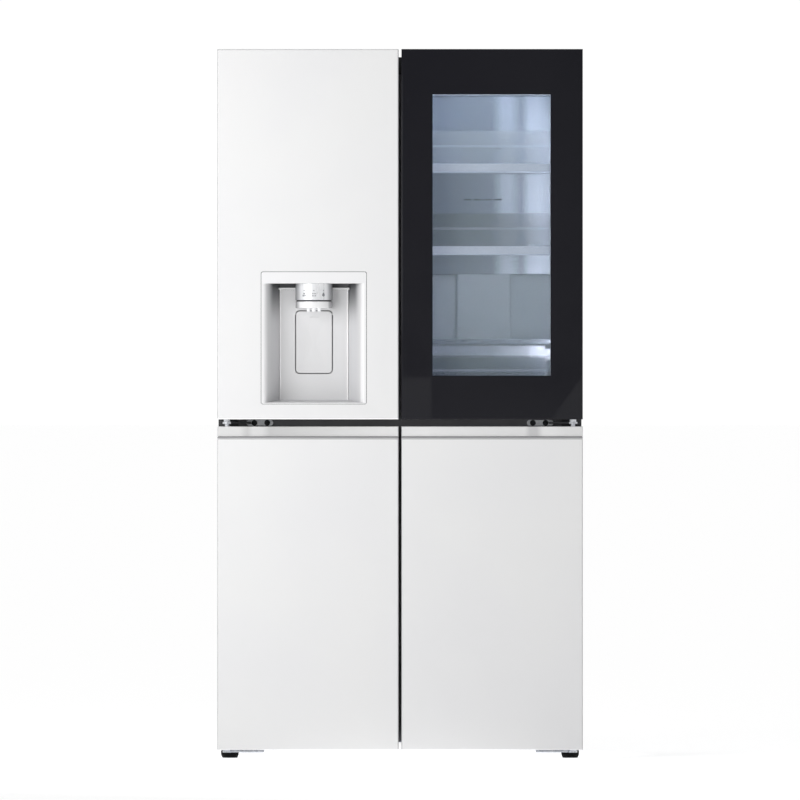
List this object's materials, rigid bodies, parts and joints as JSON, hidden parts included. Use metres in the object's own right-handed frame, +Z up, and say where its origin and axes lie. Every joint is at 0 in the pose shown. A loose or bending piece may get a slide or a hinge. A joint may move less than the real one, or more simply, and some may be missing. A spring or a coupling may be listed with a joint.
{
  "type": "side by side refrigerator",
  "caption": "Tall side by side refrigerator with four swing doors, an ice and water dispenser in one and a glass window in another.",
  "frame": {"origin": "on the floor, under the middle of the doors' and cabinet's outline", "axes": "+X to the right seen from the front, +Y to the back, +Z up"},
  "size_m": [0.914, 0.73, 1.775],
  "materials": {
    "cabinet_paint": "satin",
    "frame_paint": "satin",
    "insulating_foam": "matte",
    "liner_plastic": "satin",
    "galvanised_sheet": "matte",
    "zinc_steel": "satin",
    "dark_screws": "satin",
    "cover_plastic": "matte",
    "shelf_glass": null,
    "inner_plastic": "satin",
    "fin_aluminium": "matte",
    "lamp_lens": "gloss",
    "compressor_black": "gloss",
    "black_plastic": "matte",
    "fan_plastic": "satin",
    "valve_plastic": "satin",
    "door_paint": "satin",
    "door_liner": "satin",
    "cap_plastic": "satin",
    "gasket_rubber": "matte",
    "clear_plastic": null,
    "dispenser_plastic": "satin",
    "dispenser_silver": "satin",
    "nozzle_plastic": "satin",
    "paddle_plastic": "satin",
    "black_glass": null,
    "pull_aluminium": "satin",
    "drawer_plastic": null,
    "foot_plastic": "matte"
  },
  "bodies": {
    "cabinet": {"cabinet_wrapper": "cabinet_paint", "front_frame": "frame_paint", "foam_insulation": "insulating_foam", "compartment_liners": "liner_plastic", "rear_panel": "galvanised_sheet", "base_pan": "galvanised_sheet", "top_hinges": "zinc_steel", "hinge_covers": "cover_plastic", "middle_hinges": "zinc_steel", "bottom_hinges": "zinc_steel", "hinge_pins": "zinc_steel", "hinge_screws": "dark_screws", "glass_shelves": "shelf_glass", "drawer_guides": "inner_plastic", "air_ducts": "inner_plastic", "evaporators": "fin_aluminium", "interior_lamps": "lamp_lens", "compressor": "compressor_black", "condenser": "fin_aluminium", "fan_bracket": "black_plastic", "evaporation_pan": "black_plastic", "machine_room_cover": "galvanised_sheet", "water_valve": "valve_plastic", "mains_gland": "black_plastic"},
    "left_door": {"left_door_skin": "door_paint", "left_door_core": "door_liner", "left_door_caps": "cap_plastic", "left_door_gasket": "gasket_rubber", "left_door_bins": "clear_plastic", "dispenser_housing": "dispenser_plastic", "dispenser_head": "dispenser_silver", "dispenser_nozzles": "nozzle_plastic", "ice_case": "liner_plastic", "ice_maker": "inner_plastic", "ice_bin": "clear_plastic"},
    "paddle": {"dispenser_paddle": "paddle_plastic"},
    "window_door": {"window_door_frame": "door_liner", "window_glass": "black_glass", "window_inner_glass": "shelf_glass", "window_door_gasket": "gasket_rubber", "window_door_bins": "clear_plastic"},
    "fan": {"condenser_fan": "fan_plastic"},
    "lower_left_door": {"lower_left_skin": "door_paint", "lower_left_core": "door_liner", "lower_left_pull": "pull_aluminium", "lower_left_gasket": "gasket_rubber"},
    "crisper_left": {"crisper_left": "drawer_plastic"},
    "freezer_drawer_upper_left": {"freezer_drawer_upper_left": "drawer_plastic"},
    "freezer_drawer_lower_left": {"freezer_drawer_lower_left": "drawer_plastic"},
    "foot_left": {"leveling_foot_left": "foot_plastic"},
    "roller_left": {"rear_roller_left": "foot_plastic"},
    "lower_right_door": {"lower_right_skin": "door_paint", "lower_right_core": "door_liner", "lower_right_pull": "pull_aluminium", "lower_right_gasket": "gasket_rubber"},
    "crisper_right": {"crisper_right": "drawer_plastic"},
    "freezer_drawer_upper_right": {"freezer_drawer_upper_right": "drawer_plastic"},
    "freezer_drawer_lower_right": {"freezer_drawer_lower_right": "drawer_plastic"},
    "foot_right": {"leveling_foot_right": "foot_plastic"},
    "roller_right": {"rear_roller_right": "foot_plastic"}
  },
  "joints": [
    {"name": "left_door_hinge", "type": "hinge", "parent": "cabinet", "child": "left_door", "pos_m": [-0.433, -0.322, 1.3], "axis": [0, 0, -1], "range_deg": [0, 115]},
    {"name": "window_door_hinge", "type": "hinge", "parent": "cabinet", "child": "window_door", "pos_m": [0.433, -0.322, 1.3], "axis": [0, 0, 1], "range_deg": [0, 115]},
    {"name": "lower_left_hinge", "type": "hinge", "parent": "cabinet", "child": "lower_left_door", "pos_m": [-0.433, -0.322, 0.43], "axis": [0, 0, -1], "range_deg": [0, 115]},
    {"name": "lower_right_hinge", "type": "hinge", "parent": "cabinet", "child": "lower_right_door", "pos_m": [0.433, -0.322, 0.43], "axis": [0, 0, 1], "range_deg": [0, 115]},
    {"name": "paddle_swing", "type": "hinge", "parent": "left_door", "child": "paddle", "pos_m": [-0.2155, -0.283, 1.113], "axis": [1, 0, 0], "range_deg": [0, 4], "stiffness_Nm_per_rad": 0.2},
    {"name": "crisper_left_slide", "type": "slide", "parent": "cabinet", "child": "crisper_left", "axis": [0, -1, 0], "range_m": [0, 0.225]},
    {"name": "freezer_drawer_upper_left_slide", "type": "slide", "parent": "cabinet", "child": "freezer_drawer_upper_left", "axis": [0, -1, 0], "range_m": [0, 0.255]},
    {"name": "freezer_drawer_lower_left_slide", "type": "slide", "parent": "cabinet", "child": "freezer_drawer_lower_left", "axis": [0, -1, 0], "range_m": [0, 0.27]},
    {"name": "foot_left_turn", "type": "hinge", "parent": "cabinet", "child": "foot_left", "pos_m": [-0.427, -0.245, 0.01], "axis": [0, 0, 1], "continuous": true},
    {"name": "roller_left_spin", "type": "hinge", "parent": "cabinet", "child": "roller_left", "pos_m": [-0.4, 0.3, 0.018], "axis": [1, 0, 0], "continuous": true},
    {"name": "crisper_right_slide", "type": "slide", "parent": "cabinet", "child": "crisper_right", "axis": [0, -1, 0], "range_m": [0, 0.225]},
    {"name": "freezer_drawer_upper_right_slide", "type": "slide", "parent": "cabinet", "child": "freezer_drawer_upper_right", "axis": [0, -1, 0], "range_m": [0, 0.255]},
    {"name": "freezer_drawer_lower_right_slide", "type": "slide", "parent": "cabinet", "child": "freezer_drawer_lower_right", "axis": [0, -1, 0], "range_m": [0, 0.27]},
    {"name": "foot_right_turn", "type": "hinge", "parent": "cabinet", "child": "foot_right", "pos_m": [0.427, -0.245, 0.01], "axis": [0, 0, 1], "continuous": true},
    {"name": "roller_right_spin", "type": "hinge", "parent": "cabinet", "child": "roller_right", "pos_m": [0.4, 0.3, 0.018], "axis": [1, 0, 0], "continuous": true},
    {"name": "fan_spin", "type": "hinge", "parent": "cabinet", "child": "fan", "pos_m": [0.01, 0.246, 0.133], "axis": [1, 0, 0], "continuous": true}
  ],
  "couplings": [
    {"joint": "crisper_left_slide", "follows": "left_door_hinge", "m_per_rad": 0.11},
    {"joint": "freezer_drawer_upper_left_slide", "follows": "lower_left_hinge", "m_per_rad": 0.12},
    {"joint": "freezer_drawer_lower_left_slide", "follows": "lower_left_hinge", "m_per_rad": 0.13},
    {"joint": "crisper_right_slide", "follows": "window_door_hinge", "m_per_rad": 0.11},
    {"joint": "freezer_drawer_upper_right_slide", "follows": "lower_right_hinge", "m_per_rad": 0.12},
    {"joint": "freezer_drawer_lower_right_slide", "follows": "lower_right_hinge", "m_per_rad": 0.13}
  ]
}
